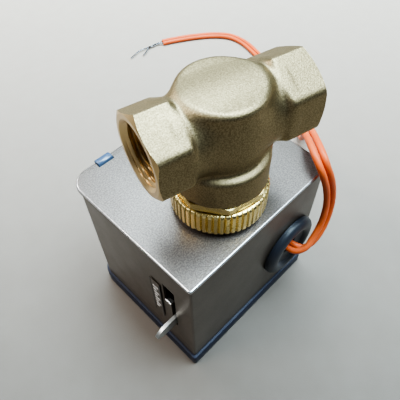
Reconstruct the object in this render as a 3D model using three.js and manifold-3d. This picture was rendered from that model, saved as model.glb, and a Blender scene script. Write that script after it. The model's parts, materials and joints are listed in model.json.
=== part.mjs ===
// Zone valve: a push-stem valve body clamped by a ring nut to a spring-return motor actuator.
// The actuator stands on its base cap with the valve on top. Millimetres, +Z up.
// Origin: the stem's axis where it meets the plane that the base cap rests on.
// X and Y run along the actuator's housing; the valve's pipe run is turned about Z by RUN_TURN.
import * as THREE from 'three';
import { mergeVertices } from 'three/addons/utils/BufferGeometryUtils.js';
import Module from 'manifold-3d';

const wasm = await Module();
wasm.setup();

// ---- driving dimensions ----
const HOUSING = { x0: -34.2, x1: 42.5, y0: -20, y1: 47.2 };
const HOUSING_RADII = { front: 1.2, right: 2.5, back: 8, left: 8 };
const TOP = 73.1; // outer face of the mounting plate
const PLATE_T = 1.6;
const BASE_H = 8;
const SLEEVE_INSET = 1;
const SLEEVE_T = 1.2;
const GAP = 0.3;
const RUN_TURN = THREE.MathUtils.degToRad(-13.64);
const RUN_Z = 111.3; // height of the pipe run's axis
const PORT_X = { left: 28, right: 29.2 }; // the stem's axis to each port's face
const HEX_R = 14.9; // across corners, halved
const BORE_R = 9.4;
const LEVER_PLANE = { y0: -9.25, y1: -7.75 };
const PIVOT = { x: 9, z: 31 };
const LEVER_SWING = 22; // degrees
const MODULE = 0.75;
const SECTOR_TEETH = 48;
const WHEEL_TEETH = 24;
const PINION_TEETH = 12;
const BUSHING = { x: 24.6, z: 34.6, r: 15 };
const LEAD_R = 1.4;
const LEAD_SPACING = 3.15;

const rad = THREE.MathUtils.degToRad;

// ---- colours and finishes ----
const finish = (color, roughness, metalness) => ({ color, roughness, metalness });
const LOOK = {
  plate: finish(0xb4b8bb, 0.42, 0.6),
  sleeve: finish(0x8a8075, 0.45, 0.5),
  base: finish(0x14161a, 0.25, 0),
  brass: finish(0xb8b08c, 0.45, 1),
  machined: finish(0xd8b45c, 0.25, 1),
  steel: finish(0xc4c8cc, 0.28, 1),
  darkSteel: finish(0x6f7276, 0.4, 1),
  rubber: finish(0x17181a, 0.7, 0),
  orange: finish(0xe0622e, 0.5, 0),
  copper: finish(0xb9b2a6, 0.35, 1),
  nylon: finish(0xe6e2d4, 0.5, 0),
  coil: finish(0xa4552a, 0.5, 0.4),
  magnet: finish(0x2e2f33, 0.6, 0.2),
  label: finish(0xd9d9d6, 0.35, 0.2),
};

// ---- solids ----
function volumeOf(geometry) {
  const p = geometry.attributes.position;
  const index = geometry.index;
  const [a, b, c] = [new THREE.Vector3(), new THREE.Vector3(), new THREE.Vector3()];
  let sum = 0;
  for (let i = 0; i < index.count; i += 3) {
    a.fromBufferAttribute(p, index.getX(i));
    b.fromBufferAttribute(p, index.getX(i + 1));
    c.fromBufferAttribute(p, index.getX(i + 2));
    sum += a.dot(b.cross(c)) / 6;
  }
  return sum;
}

function welded(geometry) {
  const bare = geometry.clone();
  bare.deleteAttribute('normal');
  bare.deleteAttribute('uv');
  const merged = mergeVertices(bare, 1e-4);
  const kept = [];
  const index = merged.index.array;
  for (let i = 0; i < index.length; i += 3) {
    const [a, b, c] = [index[i], index[i + 1], index[i + 2]];
    if (a !== b && b !== c && c !== a) kept.push(a, b, c);
  }
  merged.setIndex(kept);
  if (volumeOf(merged) < 0) {
    for (let i = 0; i < kept.length; i += 3) [kept[i], kept[i + 1]] = [kept[i + 1], kept[i]];
    merged.setIndex(kept);
  }
  return merged;
}

function solid(geometry) {
  const merged = welded(geometry);
  return new wasm.Manifold(new wasm.Mesh({
    numProp: 3,
    vertProperties: new Float32Array(merged.attributes.position.array),
    triVerts: new Uint32Array(merged.index.array),
  }));
}

function geometryOf(manifold) {
  const mesh = manifold.getMesh();
  const geometry = new THREE.BufferGeometry();
  geometry.setAttribute('position', new THREE.BufferAttribute(new Float32Array(mesh.vertProperties), 3));
  geometry.setIndex(new THREE.BufferAttribute(new Uint32Array(mesh.triVerts), 1));
  return geometry;
}

const join = (first, ...others) => others.reduce((sum, next) => sum.add(next), first);
const cut = (body, ...tools) => tools.reduce((left, tool) => left.subtract(tool), body);

function block(x0, x1, y0, y1, z0, z1) {
  const geometry = new THREE.BoxGeometry(x1 - x0, y1 - y0, z1 - z0);
  geometry.translate((x0 + x1) / 2, (y0 + y1) / 2, (z0 + z1) / 2);
  return solid(geometry);
}

function cylinderZ(r, z0, z1, x = 0, y = 0, sides = 32) {
  const geometry = new THREE.CylinderGeometry(r, r, z1 - z0, sides);
  geometry.rotateX(Math.PI / 2);
  geometry.translate(x, y, (z0 + z1) / 2);
  return solid(geometry);
}

function cylinderY(r, y0, y1, x, z, sides = 24) {
  const geometry = new THREE.CylinderGeometry(r, r, y1 - y0, sides);
  geometry.translate(x, (y0 + y1) / 2, z);
  return solid(geometry);
}

// A closed profile of [radius, height] pairs turned about Z.
function turnedZ(profile, sides = 48) {
  const points = [...profile, profile[0]].map(([r, h]) => new THREE.Vector2(r, h));
  return solid(new THREE.LatheGeometry(points, sides).rotateX(Math.PI / 2));
}

// A closed profile of [radius, y] pairs turned about an axis along Y.
function turnedY(profile, x, z, sides = 48) {
  const points = [...profile, profile[0]].map(([r, h]) => new THREE.Vector2(r, h));
  return solid(new THREE.LatheGeometry(points, sides).translate(x, 0, z));
}

// A closed profile of [radius, x] pairs turned about the pipe run's axis.
function turnedX(profile, sides = 48) {
  const points = [...profile, profile[0]].map(([r, h]) => new THREE.Vector2(r, h));
  return solid(new THREE.LatheGeometry(points, sides).rotateZ(-Math.PI / 2).translate(0, 0, RUN_Z));
}

function polygon(points) {
  return new THREE.Shape(points.map(([x, y]) => new THREE.Vector2(x, y)));
}

function extrudedZ(shape, z0, z1, curveSegments = 6) {
  const geometry = new THREE.ExtrudeGeometry(shape, { depth: z1 - z0, bevelEnabled: false, curveSegments });
  return solid(geometry.translate(0, 0, z0));
}

// The shape's x and y become X and Z.
function extrudedY(shape, y0, y1, curveSegments = 6) {
  const geometry = new THREE.ExtrudeGeometry(shape, { depth: y1 - y0, bevelEnabled: false, curveSegments });
  return solid(geometry.rotateX(Math.PI / 2).translate(0, y1, 0));
}

// ---- the assembly ----
const group = new THREE.Group();
group.name = 'zone_valve';
const valveGroup = new THREE.Group();
valveGroup.rotation.z = RUN_TURN;
group.add(valveGroup);

function add(name, manifold, look, parent = group) {
  const mesh = new THREE.Mesh(geometryOf(manifold), new THREE.MeshStandardMaterial(look));
  mesh.name = name;
  parent.add(mesh);
  return mesh;
}

// The housing's outline moved in by inset, with its four corner radii.
function housingShape(inset) {
  const x0 = HOUSING.x0 + inset;
  const x1 = HOUSING.x1 - inset;
  const y0 = HOUSING.y0 + inset;
  const y1 = HOUSING.y1 - inset;
  const r = {};
  for (const [key, value] of Object.entries(HOUSING_RADII)) r[key] = Math.max(value - inset, 1);
  const shape = new THREE.Shape();
  shape.moveTo(x0 + r.front, y0);
  shape.lineTo(x1 - r.right, y0);
  shape.absarc(x1 - r.right, y0 + r.right, r.right, -Math.PI / 2, 0);
  shape.lineTo(x1, y1 - r.back);
  shape.absarc(x1 - r.back, y1 - r.back, r.back, 0, Math.PI / 2);
  shape.lineTo(x0 + r.left, y1);
  shape.absarc(x0 + r.left, y1 - r.left, r.left, Math.PI / 2, Math.PI);
  shape.lineTo(x0, y0 + r.front);
  shape.absarc(x0 + r.front, y0 + r.front, r.front, Math.PI, 1.5 * Math.PI);
  return shape;
}

// ---- base cap with its two snap arms ----
const ARM_W = 6.9;
const ARM_X = [-17.75, 22];
const NOTCH_Y = HOUSING.y1 - 3.6;
const baseInner = SLEEVE_INSET + SLEEVE_T + GAP;
let base = extrudedZ(housingShape(0), 0, BASE_H);
base = join(base, extrudedZ(housingShape(baseInner), BASE_H - 1, BASE_H + 5));
base = cut(base, extrudedZ(housingShape(baseInner + 1.6), 2, BASE_H + 6));
for (const x of ARM_X) {
  const [a, b] = [x - ARM_W / 2, x + ARM_W / 2];
  base = join(
    base,
    block(a, b, NOTCH_Y + GAP, HOUSING.y1 - baseInner - 0.05, BASE_H, TOP + 1.2),
    block(a, b, NOTCH_Y + GAP, HOUSING.y1 + 0.7, TOP - PLATE_T + 0.1, TOP + 1.2),
  );
}
add('base_cap', base, LOOK.base);

// ---- folded sleeve with the lever slot and the bushing hole ----
const SLOT = { y0: -9.75, y1: -7.25, z0: 26.6, z1: 46 };
const LATCH = { y0: -9.75, y1: -3.6, z0: 43, z1: 56 };
const SLEEVE_Z = [BASE_H + GAP, TOP - PLATE_T - 0.4];
const SHELF = { x1: -31, y0: -7.1, t: 1.2 };
let sleeve = extrudedZ(housingShape(SLEEVE_INSET), ...SLEEVE_Z);
sleeve = cut(
  sleeve,
  extrudedZ(housingShape(SLEEVE_INSET + SLEEVE_T), SLEEVE_Z[0] - 1, SLEEVE_Z[1] + 1),
  block(HOUSING.x0 - 1, HOUSING.x0 + 4, SLOT.y0, SLOT.y1, SLOT.z0, SLOT.z1),
  block(HOUSING.x0 - 1, HOUSING.x0 + 4, LATCH.y0, LATCH.y1, LATCH.z0, LATCH.z1),
  cylinderY(11.35, HOUSING.y0 - 1, HOUSING.y0 + 6, BUSHING.x, BUSHING.z, 32),
);
sleeve = join(sleeve, block(HOUSING.x0 + 1.5, SHELF.x1, SHELF.y0, LATCH.y1, LATCH.z0 - SHELF.t, LATCH.z0));
add('sleeve_cover', sleeve, LOOK.sleeve);

// ---- mounting plate ----
let plate = join(
  extrudedZ(housingShape(0), TOP - PLATE_T, TOP - 0.4),
  extrudedZ(housingShape(0.4), TOP - 0.5, TOP),
);
plate = cut(plate, cylinderZ(10.2, TOP - 4, TOP + 2, 0, 0, 40));
for (const x of ARM_X) {
  const half = ARM_W / 2 + GAP;
  plate = cut(plate, block(x - half, x + half, NOTCH_Y, HOUSING.y1 + 2, TOP - 4, TOP + 2));
}
add('mounting_plate', plate, LOOK.plate);

// ---- spigot bush that carries the ring nut, and the nut under the plate ----
const SPIGOT_TOP = 78;
add('spigot_bush', turnedZ([
  [4.2, 62], [6.6, 62], [6.6, 66], [9.9, 66], [9.9, 76.7], [12.6, 76.7],
  [12.6, SPIGOT_TOP], [4.2, SPIGOT_TOP],
], 40), LOOK.steel);
add('spigot_nut', cut(
  cylinderZ(12.4, 68.4, TOP - PLATE_T - GAP, 0, 0, 6),
  cylinderZ(10.25, 67, 73, 0, 0, 40),
), LOOK.darkSteel);

// ---- knurled ring nut ----
const KNURL_COUNT = 54;
const KNURL_R = 17.7;
const knurlPoints = [];
for (let i = 0; i < KNURL_COUNT; i += 1) {
  const pitch = (2 * Math.PI) / KNURL_COUNT;
  for (const [share, r] of [[0, KNURL_R - 0.65], [0.3, KNURL_R], [0.7, KNURL_R]]) {
    knurlPoints.push([r * Math.cos((i + share) * pitch), r * Math.sin((i + share) * pitch)]);
  }
}
let ringNut = extrudedZ(polygon(knurlPoints), 75, 85);
ringNut = ringNut.intersect(turnedZ([
  [10.3, 75], [17, 75], [17.9, 75.6], [17.9, 84.1], [17, 85], [14.1, 85], [14.1, 76.4], [10.3, 76.4],
], 60));
add('ring_nut', ringNut, LOOK.machined);

// ---- gear frame: two plates, posts, screws, pins ----
const FRONT_PLATE = { y0: -11.4, y1: -10.3 };
const REAR_PLATE = { y0: 5.6, y1: 6.7 };
const deg = (d) => [Math.cos(rad(d)), Math.sin(rad(d))];
const SECTOR_R = (MODULE * SECTOR_TEETH) / 2;
const WHEEL_R = (MODULE * WHEEL_TEETH) / 2;
const PINION_R = (MODULE * PINION_TEETH) / 2;
const MESH_ANGLES = { sectorToSecond: -35, secondToFirst: 85, firstToRotor: 135 };
const along = (from, distance, angle) => {
  const [c, s] = deg(angle);
  return { x: from.x + distance * c, z: from.z + distance * s };
};
const SECOND = along(PIVOT, SECTOR_R + PINION_R, MESH_ANGLES.sectorToSecond);
const FIRST = along(SECOND, WHEEL_R + PINION_R, MESH_ANGLES.secondToFirst);
const ROTOR = along(FIRST, WHEEL_R + PINION_R, MESH_ANGLES.firstToRotor);
const MOTOR_SCREW_Z = [ROTOR.z - 22, ROTOR.z + 22];
const POSTS = [{ x: 36.6, z: 64.5 }, { x: 17.5, z: 66 }, { x: 5.5, z: 13.5 }, { x: 37, z: 46.5 }];
const POST_R = 2;
const PIN_R = 1;
const PIVOT_R = 1.8;

const framePlate = polygon([
  [2, 10.5], [33, 10.5], [39.5, 17], [39.5, 71.1], [14, 71.1], [14, 60], [2, 46],
]);
for (const [name, y, flangeY] of [
  ['gear_frame_front', FRONT_PLATE, [-16.4, -10.3]],
  ['gear_frame_rear', REAR_PLATE, [5.6, 12]],
]) {
  let frame = extrudedY(framePlate, y.y0, y.y1);
  frame = join(frame, block(14, 39.5, flangeY[0], flangeY[1], 70, 71.1));
  frame = cut(
    frame,
    cylinderY(PIVOT_R + GAP, y.y0 - 1, y.y1 + 1, PIVOT.x, PIVOT.z, 16),
    cylinderY(PIN_R + GAP, y.y0 - 1, y.y1 + 1, SECOND.x, SECOND.z, 12),
    cylinderY(PIN_R + GAP, y.y0 - 1, y.y1 + 1, FIRST.x, FIRST.z, 12),
    cylinderY(3.2, y.y0 - 1, y.y1 + 1, ROTOR.x, ROTOR.z, 16),
  );
  for (const post of POSTS) frame = cut(frame, cylinderY(1.2, y.y0 - 1, y.y1 + 1, post.x, post.z, 12));
  if (flangeY[1] > 0) {
    for (const z of MOTOR_SCREW_Z) frame = cut(frame, cylinderY(1.25, y.y0 - 1, y.y1 + 1, ROTOR.x, z, 12));
  }
  add(name, frame, LOOK.darkSteel);
}
POSTS.forEach((post, i) => {
  const bore = cylinderY(1.2, -12, -5, post.x, post.z, 12);
  add(`frame_post_${i + 1}`, join(
    cut(cylinderY(POST_R, FRONT_PLATE.y1 + GAP, REAR_PLATE.y0 - GAP, post.x, post.z, 16), bore),
    cylinderY(0.9, REAR_PLATE.y0 - 1, REAR_PLATE.y1, post.x, post.z, 12),
  ), LOOK.steel);
  add(`frame_screw_${i + 1}`, join(
    cylinderY(0.9, -12, -6, post.x, post.z, 12),
    cylinderY(1.9, -12.9, -11.7, post.x, post.z, 16),
  ), LOOK.steel);
});
add('pivot_pin', cylinderY(PIVOT_R, -11.3, 6.6, PIVOT.x, PIVOT.z, 20), LOOK.steel);
add('second_gear_pin', cylinderY(PIN_R, -11.3, 6.6, SECOND.x, SECOND.z, 12), LOOK.steel);
add('first_gear_pin', cylinderY(PIN_R, -11.3, 6.6, FIRST.x, FIRST.z, 12), LOOK.steel);

// ---- gears: a tooth is centred on the angle named phase ----
function gearShape(teeth, phase, centre) {
  const outer = MODULE * (teeth / 2 + 0.85);
  const root = MODULE * (teeth / 2 - 1.2);
  const pitch = 360 / teeth;
  const points = [];
  for (let i = 0; i < teeth; i += 1) {
    for (const [share, r] of [[-0.26, root], [-0.11, outer], [0.11, outer], [0.26, root]]) {
      const [c, s] = deg(phase + (i + share) * pitch);
      points.push([centre.x + r * c, centre.z + r * s]);
    }
  }
  return polygon(points);
}
const facing = (teeth, angle) => angle + 180 + 180 / teeth; // a gap faces back along the line of centres

const SECTOR_PHASE = MESH_ANGLES.sectorToSecond;
const secondGear = cut(join(
  extrudedY(gearShape(PINION_TEETH, facing(PINION_TEETH, MESH_ANGLES.sectorToSecond), SECOND), -9.5, -5.8),
  extrudedY(gearShape(WHEEL_TEETH, MESH_ANGLES.secondToFirst, SECOND), -6, -4.5),
), cylinderY(PIN_R + 0.08, -12, 8, SECOND.x, SECOND.z, 16));
add('second_gear', secondGear, LOOK.nylon);
const firstGear = cut(join(
  extrudedY(gearShape(PINION_TEETH, facing(PINION_TEETH, MESH_ANGLES.secondToFirst), FIRST), -6.3, -3),
  extrudedY(gearShape(WHEEL_TEETH, MESH_ANGLES.firstToRotor, FIRST), -3.2, -1.8),
), cylinderY(PIN_R + 0.08, -12, 8, FIRST.x, FIRST.z, 16));
add('first_gear', firstGear, LOOK.nylon);

// ---- manual lever with its toothed sector, and the sleeve on its pin that lifts the tappet ----
function wedge(centre, r, from, to) {
  const points = [[centre.x, centre.z]];
  for (let a = from; a <= to + 1e-6; a += (to - from) / 8) {
    const [c, s] = deg(a);
    points.push([centre.x + r * c, centre.z + r * s]);
  }
  return polygon(points);
}
const { y0: LY0, y1: LY1 } = LEVER_PLANE;
const sector = extrudedY(gearShape(SECTOR_TEETH, SECTOR_PHASE, PIVOT), LY0, LY1)
  .intersect(extrudedY(
    wedge(PIVOT, 30, SECTOR_PHASE - 15, SECTOR_PHASE + LEVER_SWING + 11), LY0 - 1, LY1 + 1,
  ));
const arm = extrudedY(polygon([
  [9, 28], [9, 34], [-35, 34], [-39.5, 33.6], [-42.2, 32.4], [-43.5, 30.8],
  [-43, 29.2], [-40.8, 28.1], [-36, 28],
]), LY0, LY1);
const leverHub = cylinderY(5, LY0, LY1, PIVOT.x, PIVOT.z, 24);
const boss = cylinderY(3.2, LY1 - 0.2, -6.6, PIVOT.x, PIVOT.z, 24);
add('manual_lever', cut(
  join(sector, arm, leverHub, boss, cylinderY(0.95, LY1 - 0.2, 3.4, 0, PIVOT.z, 12)),
  cylinderY(PIVOT_R + 0.08, -12, 8, PIVOT.x, PIVOT.z, 24),
), LOOK.steel);
add('lift_sleeve', cut(
  cylinderY(2, -3.2, 3.2, 0, PIVOT.z, 20),
  cylinderY(1.25, -4, 4, 0, PIVOT.z, 12),
), LOOK.nylon);

// ---- lever return spring round the pivot, with two straight legs ----
function tubeAlong(points, r, sides, steps, tension = 0.5) {
  const knots = points.map((p) => new THREE.Vector3(...p));
  const curve = new THREE.CatmullRomCurve3(knots, false, 'catmullrom', tension);
  const section = new THREE.Shape();
  for (let i = 0; i < sides; i += 1) {
    const [c, s] = deg((360 * i) / sides);
    if (i === 0) section.moveTo(r * c, r * s);
    else section.lineTo(r * c, r * s);
  }
  section.closePath();
  return solid(new THREE.ExtrudeGeometry(section, { steps, extrudePath: curve, bevelEnabled: false }));
}
const lever_spring = [];
lever_spring.push([PIVOT.x - 3.5, -5.4, 48], [PIVOT.x - 3.6, -5.4, 40]);
for (let i = 0; i <= 40; i += 1) {
  const [c, s] = deg(180 - i * 36);
  lever_spring.push([PIVOT.x + 3.6 * c, -5.4 + i * 0.17, PIVOT.z + 3.6 * s]);
}
lever_spring.push([PIVOT.x - 3.6, 1.4, 40], [PIVOT.x - 3.6, 2.6, 44]);
add('lever_return_spring', tubeAlong(lever_spring, 0.4, 6, 84), LOOK.steel);

// ---- tappet that the lever lifts against the valve stem ----
add('tappet', turnedZ([
  [0, 33.35], [4.2, 33.35], [4.2, 35.2], [3.1, 36], [3.1, 73.7], [2.6, 74.2], [0, 74.2],
], 24), LOOK.steel);

// ---- motor ----
add('motor_can', cut(
  join(
    cylinderY(20, 7, 25, ROTOR.x, ROTOR.z, 48),
    block(ROTOR.x - 5, ROTOR.x + 5, 7, 8.2, ROTOR.z - 24, ROTOR.z + 24),
  ),
  cylinderY(19, 8.2, 27, ROTOR.x, ROTOR.z, 48),
  cylinderY(3.2, 5, 10, ROTOR.x, ROTOR.z, 20),
  cylinderY(1.3, 5, 10, ROTOR.x, ROTOR.z - 22, 12),
  cylinderY(1.3, 5, 10, ROTOR.x, ROTOR.z + 22, 12),
), LOOK.steel);
add('motor_cover', cut(
  cylinderY(20, 25.3, 26.3, ROTOR.x, ROTOR.z, 48),
  cylinderY(1.3, 25, 27, ROTOR.x, ROTOR.z, 12),
), LOOK.steel);
MOTOR_SCREW_Z.forEach((z, i) => {
  const shank = cylinderY(0.95, 5.7, 9, ROTOR.x, z, 12);
  add(`motor_screw_${i + 1}`, join(shank, cylinderY(2, 8.5, 9.9, ROTOR.x, z, 16)), LOOK.steel);
});
add('stator_coil', turnedY([
  [11.5, 9], [18.5, 9], [18.5, 23], [11.5, 23],
], ROTOR.x, ROTOR.z, 40), LOOK.coil);
add('motor_rotor', join(
  cylinderY(10, 10, 22, ROTOR.x, ROTOR.z, 32),
  cylinderY(1.0, -4, 26, ROTOR.x, ROTOR.z, 12),
), LOOK.magnet);
add('rotor_pinion', cut(
  extrudedY(gearShape(PINION_TEETH, facing(PINION_TEETH, MESH_ANGLES.firstToRotor), ROTOR), -3.5, -1.4),
  cylinderY(1.3, -5, 1, ROTOR.x, ROTOR.z, 12),
), LOOK.machined);

// ---- bushing, its lock nut, and the terminal block behind it ----
add('cable_bushing', turnedY([
  [3.9, -20.2], [9, -20.2], [9.6, -22.9], [12.6, -22.9], [14.4, -22],
  [BUSHING.r, -20.4], [BUSHING.r, -19.3],
  [11.05, -19.3], [11.05, -14.6], [9.2, -14.6], [9.2, -18.4], [3.9, -18.4],
], BUSHING.x, BUSHING.z, 40), LOOK.rubber);
add('bushing_lock_nut', cut(
  cylinderY(14.2, -17.4, -15.2, BUSHING.x, BUSHING.z, 6),
  cylinderY(11.35, -19, -13, BUSHING.x, BUSHING.z, 40),
), LOOK.rubber);
add('terminal_block', block(
  BUSHING.x - 6.5, BUSHING.x + 6.5, -14, -11.7, BUSHING.z - 3.5, BUSHING.z + 3.5,
), LOOK.nylon);

// ---- label beside the lever slot ----
add('lever_label', block(-33.8, -33.5, -2.2, 3.4, 25, 53), LOOK.label);

// ---- valve body: neck, centre, throats, hexagonal ports ----
const hexPrism = (x0, x1, r) => {
  const geometry = new THREE.CylinderGeometry(r, r, x1 - x0, 6);
  geometry.rotateZ(Math.PI / 2);
  return solid(geometry.translate((x0 + x1) / 2, 0, RUN_Z));
};
let body = turnedZ([
  [0, 88.9], [16.3, 88.9], [16.3, 99], [15.9, 100.6], [15, 101.8], [13.9, 102.6],
  [13.9, 122.9], [13.4, 124.2], [12.3, 124.75], [0, 124.75],
], 56);
body = join(body, turnedX([[0, -17], [12.3, -17], [12.3, 17], [0, 17]], 48));
for (const side of [-1, 1]) {
  const face = side > 0 ? PORT_X.right : PORT_X.left;
  const span = side > 0 ? [13.5, face] : [-face, -13.5];
  const port = hexPrism(span[0], span[1], HEX_R).intersect(turnedX([
    [0, side * 13], [11.5, side * 13], [15.4, side * 16.2], [15.4, side * (face - 1.3)],
    [12.7, side * face], [0, side * face],
  ], 48));
  body = join(body, port);
}
const SEAT = [106.3, 108.3];
body = cut(
  body,
  cylinderZ(13.8, 80, 95.2, 0, 0, 48),
  cylinderZ(10.8, 94, 122, 0, 0, 40),
  turnedX([[0, -40], [8.8, -40], [8.8, 40], [0, 40]], 40),
);
for (const side of [-1, 1]) {
  const face = side > 0 ? PORT_X.right : PORT_X.left;
  body = cut(body, turnedX([
    [0, side * 14], [BORE_R, side * 14], [BORE_R, side * (face - 1.6)], [11.1, side * (face + 0.1)],
    [11.1, side * 40], [0, side * 40],
  ], 48));
}
const chamber = cylinderZ(11.2, 90, 121.8, 0, 0, 40);
body = join(
  body,
  cut(cylinderZ(11.2, SEAT[0], SEAT[1], 0, 0, 40), cylinderZ(6.2, 100, 110, 0, 0, 32)),
  block(-12.6, -9, -9.3, 9.3, 102, SEAT[1] - 0.2)
    .intersect(chamber.add(block(-12.6, -10, -9.3, 9.3, 102, 108))),
  block(9, 12.6, -9.3, 9.3, SEAT[0] + 0.2, 120.8)
    .intersect(chamber.add(block(10, 12.6, -9.3, 9.3, 106, 121))),
);
add('valve_body', body, LOOK.brass, valveGroup);

// ---- bonnet insert: threaded end, octagonal collar, stem bore with two seal grooves ----
const octagon = cylinderZ(17.3, 85.6, 88.6, 0, 0, 8).rotate([0, 0, 10 + 13.64]);
let bonnet = join(
  turnedZ([[0, 78.3], [13.1, 78.3], [13.8, 79], [13.8, 84.4], [12.9, 84.8], [12.9, 86], [0, 86]], 48),
  octagon,
  turnedZ([[0, 88], [13.5, 88], [13.5, 94.2], [0, 94.2]], 48),
);
bonnet = cut(
  bonnet,
  turnedZ([
    [0, 70], [2.45, 70], [2.45, 80.4], [4.1, 80.4], [4.1, 82.2], [2.45, 82.2],
    [2.45, 83.2], [4.1, 83.2], [4.1, 85], [2.45, 85],
    [2.45, 88.4], [9.2, 88.4], [9.2, 97], [0, 97],
  ], 32),
);
add('bonnet_insert', bonnet, LOOK.machined, valveGroup);
add('bonnet_gasket', turnedZ([
  [11.1, 94.5], [13.5, 94.5], [13.5, 94.9], [11.1, 94.9],
], 40), LOOK.rubber, valveGroup);
for (const [name, z] of [['stem_seal_1', 81.3], ['stem_seal_2', 84.1]]) {
  const geometry = new THREE.TorusGeometry(3.1, 0.6, 8, 24);
  geometry.translate(0, 0, z);
  add(name, solid(geometry), LOOK.rubber, valveGroup);
}

// ---- stem with its plug, the seat disc and the closing spring ----
add('valve_stem', turnedZ([
  [0, 74.5], [1.7, 74.5], [2.1, 74.9], [2.1, 111], [7.2, 111], [7.2, 113.2],
  [3.4, 113.2], [3.4, 115.4], [0, 115.4],
], 24), LOOK.machined, valveGroup);
add('seat_disc', turnedZ([
  [2.4, 108.6], [7.7, 108.6], [7.7, 110.7], [2.4, 110.7],
], 32), LOOK.rubber, valveGroup);
const springPoints = [];
const SPRING = { z0: 114.1, z1: 121.2, r: 5.2, turns: 4, perTurn: 14 };
for (let i = 0; i <= SPRING.turns * SPRING.perTurn; i += 1) {
  const [c, s] = deg((360 * i) / SPRING.perTurn);
  const z = SPRING.z0 + ((SPRING.z1 - SPRING.z0) * i) / (SPRING.turns * SPRING.perTurn);
  springPoints.push([SPRING.r * c, SPRING.r * s, z]);
}
add('closing_spring', tubeAlong(springPoints, 0.45, 6, 80), LOOK.steel, valveGroup);

// ---- supply leads: from the bushing up over the housing's corner, down to the table and along it ----
// Each row is the middle of the pair and roughly the direction from one lead to the other.
const LEAD_ROUTE = [
  [24.6, -14.4, 34.6, 1, 0, 0], [24.6, -19, 34.6, 1, 0, 0], [25.2, -23.4, 34.7, 1, 0, 0],
  [28.2, -26.6, 35.4, 1, -0.1, -0.2], [33, -27.4, 39, 0.9, -0.2, -0.3], [37.8, -27, 46, 1, -0.2, -0.1],
  [39.8, -25.8, 55, 1, -0.2, 0], [39, -24.5, 63.5, 1, -0.2, 0], [36.9, -23.3, 71, 1, -0.2, 0],
  [35.3, -21.3, 76.8, 1, -0.2, 0], [36.2, -18, 79.8, 1, -0.5, 0], [39.2, -13.9, 80, 0.9, -0.6, 0],
  [43.6, -9.2, 78.4, 0.8, -0.6, 0], [50, -3.4, 74.4, 0.8, -0.6, 0], [60.5, 4, 65.4, 0.7, -0.7, 0],
  [72.5, 10.4, 52.8, 0.7, -0.7, 0], [84, 15.2, 38.6, 0.6, -0.8, 0], [94.5, 20, 24.4, 0.6, -0.8, 0],
  [104.5, 26, 11.8, 0.65, -0.76, 0], [115, 33.4, 3.8, 0.7, -0.7, 0], [126.5, 43.5, 1.72, 0.72, -0.69, 0],
  [138, 57, 1.72, 0.82, -0.57, 0], [148, 75, 1.72, 0.9, -0.43, 0], [156.5, 95, 1.72, 0.95, -0.3, 0],
  [163, 113, 1.72, 0.98, -0.15, 0], [167, 129, 1.72, 1, 0.1, 0], [165.6, 142.5, 1.72, 0.8, 0.6, 0],
  [157.2, 153.6, 1.72, 0.62, 0.78, 0], [145, 163, 1.72, 0.54, 0.84, 0], [132.5, 170.4, 1.72, 0.48, 0.87, 0],
  [123, 175, 1.72, 0.43, 0.9, 0],
];
function offsetRoute(route, side) {
  const at = (i) => new THREE.Vector3(...route[Math.min(Math.max(i, 0), route.length - 1)].slice(0, 3));
  return route.map(([x, y, z, dx, dy, dz], i) => {
    const tangent = at(i + 1).sub(at(i - 1)).normalize();
    const d = new THREE.Vector3(dx, dy, dz);
    d.addScaledVector(tangent, -d.dot(tangent)).normalize().multiplyScalar((side * LEAD_SPACING) / 2);
    return [x + d.x, y + d.y, z + d.z];
  });
}
const CORES = [
  { side: 1, name: 'lead_live', core: [[0, 0], [114, 179.6], [103, 180.2], [92.5, 177.6]] },
  { side: -1, name: 'lead_neutral', core: [[0, 0], [113.5, 175.6], [107, 175.2], [102, 173.6]] },
];
for (const lead of CORES) {
  const points = offsetRoute(LEAD_ROUTE, lead.side);
  add(lead.name, tubeAlong(points, LEAD_R, 8, 72), LOOK.orange);
  const end = points[points.length - 1];
  const before = points[points.length - 2];
  const step = new THREE.Vector3(end[0] - before[0], end[1] - before[1], 0).normalize().multiplyScalar(GAP);
  const start = [end[0] + step.x, end[1] + step.y, end[2]];
  const core = [start, ...lead.core.slice(1).map(([x, y]) => [x, y, 1.1])];
  add(`${lead.name}_core`, tubeAlong(core, 0.65, 8, 10), LOOK.copper);
}

export default group;
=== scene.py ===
"""The looks of the zone valve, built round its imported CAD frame.
Lengths are in millimetres until a mesh is made."""

import json
import math

import bmesh
import bpy
import numpy as np
from mathutils import Matrix, Vector


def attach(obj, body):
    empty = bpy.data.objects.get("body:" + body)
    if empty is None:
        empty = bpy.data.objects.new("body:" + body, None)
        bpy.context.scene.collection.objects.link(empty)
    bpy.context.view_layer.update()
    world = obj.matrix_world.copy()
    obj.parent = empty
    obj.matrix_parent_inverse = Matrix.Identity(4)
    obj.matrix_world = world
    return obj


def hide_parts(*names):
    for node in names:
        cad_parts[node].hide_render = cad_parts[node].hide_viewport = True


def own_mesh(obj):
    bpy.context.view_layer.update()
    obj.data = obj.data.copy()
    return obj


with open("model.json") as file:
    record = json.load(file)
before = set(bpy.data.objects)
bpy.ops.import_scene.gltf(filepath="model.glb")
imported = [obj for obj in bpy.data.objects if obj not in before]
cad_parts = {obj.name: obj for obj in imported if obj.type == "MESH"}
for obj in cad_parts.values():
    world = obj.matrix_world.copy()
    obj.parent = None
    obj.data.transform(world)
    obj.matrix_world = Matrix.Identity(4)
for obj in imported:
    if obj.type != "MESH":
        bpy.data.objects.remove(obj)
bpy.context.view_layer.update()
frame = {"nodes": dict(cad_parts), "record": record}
MM = 0.001

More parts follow.
